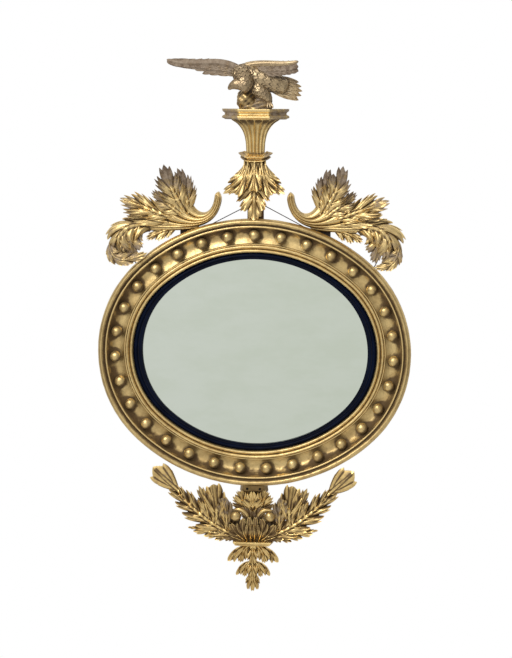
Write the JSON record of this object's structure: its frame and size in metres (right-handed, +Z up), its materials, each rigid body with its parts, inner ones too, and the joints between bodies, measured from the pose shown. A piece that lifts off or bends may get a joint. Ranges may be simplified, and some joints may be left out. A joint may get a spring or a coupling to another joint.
{
  "type": "girandole mirror",
  "caption": "Oval wall mirror in a carved gilt frame: a hollow moulding set with balls, black slip, leaf scrolls and an eagle on a plinth above, leafy apron and pendant below.",
  "frame": {"origin": "middle of the backboard's rear face, on the wall plane, at the centre of the oval frame", "axes": "+Z up, +X to the viewer's right when facing the mirror, -Y out of the wall towards the viewer; the wall plane is y = 0"},
  "size_m": [0.7838, 0.0982, 1.3366],
  "materials": {
    "gilding": "water gilding over bole on carved wood, toned and rubbed",
    "worn_gilding": "old gilding worn and darkened to a brown-grey",
    "dark_gilding": "dark toned gilding",
    "old_pine": "bare pine darkened with age",
    "stained_wood": "dark stain",
    "ebonised_wood": "black polish with a soft gloss",
    "old_mirror": "old silvered plate, pale grey-green",
    "dark_iron": "dark iron",
    "brass": "dull brass"
  },
  "bodies": {
    "root": {"apron_batten": "old_pine", "apron_bosses": "gilding", "apron_collar": "gilding", "apron_core": "gilding", "apron_palmette": "gilding", "apron_rosette": "gilding", "apron_screws": "dark_iron", "backboard_lower": "old_pine", "backboard_middle": "old_pine", "backboard_screws": "dark_iron", "backboard_upper": "old_pine", "batten_screws": "dark_iron", "crest_batten": "old_pine", "crest_centre_leaf": "gilding", "crest_collar": "gilding", "crest_core": "gilding", "crest_left_leaf": "gilding", "crest_lower_leaf": "gilding", "crest_right_leaf": "gilding", "eagle_body": "worn_gilding", "eagle_left_wing": "worn_gilding", "eagle_right_wing": "worn_gilding", "eagle_rock": "dark_gilding", "eagle_tail": "worn_gilding", "ebonised_slip": "ebonised_wood", "frame_moulding": "gilding", "gilt_balls": "gilding", "hanging_wire": "dark_iron", "left_branch": "gilding", "left_curled_leaf": "gilding", "left_leaf_pin": "dark_iron", "left_low_leaf": "gilding", "left_middle_leaf": "gilding", "left_screw_eye": "dark_iron", "left_scroll": "gilding", "left_scroll_block": "stained_wood", "left_under_leaf": "gilding", "left_upright_leaf": "gilding", "mirror_plate": "old_mirror", "pendant_bud": "gilding", "pendant_lower_husk": "gilding", "pendant_upper_husk": "gilding", "pine_carcase": "old_pine", "plate_blocks": "old_pine", "plinth_cap": "gilding", "plinth_stem": "gilding", "right_branch": "gilding", "right_curled_leaf": "gilding", "right_leaf_pin": "dark_iron", "right_low_leaf": "gilding", "right_middle_leaf": "gilding", "right_screw_eye": "dark_iron", "right_scroll": "gilding", "right_scroll_block": "stained_wood", "right_under_leaf": "gilding", "right_upright_leaf": "gilding", "sight_moulding": "gilding", "wall_hook": "brass"}
  },
  "joints": []
}
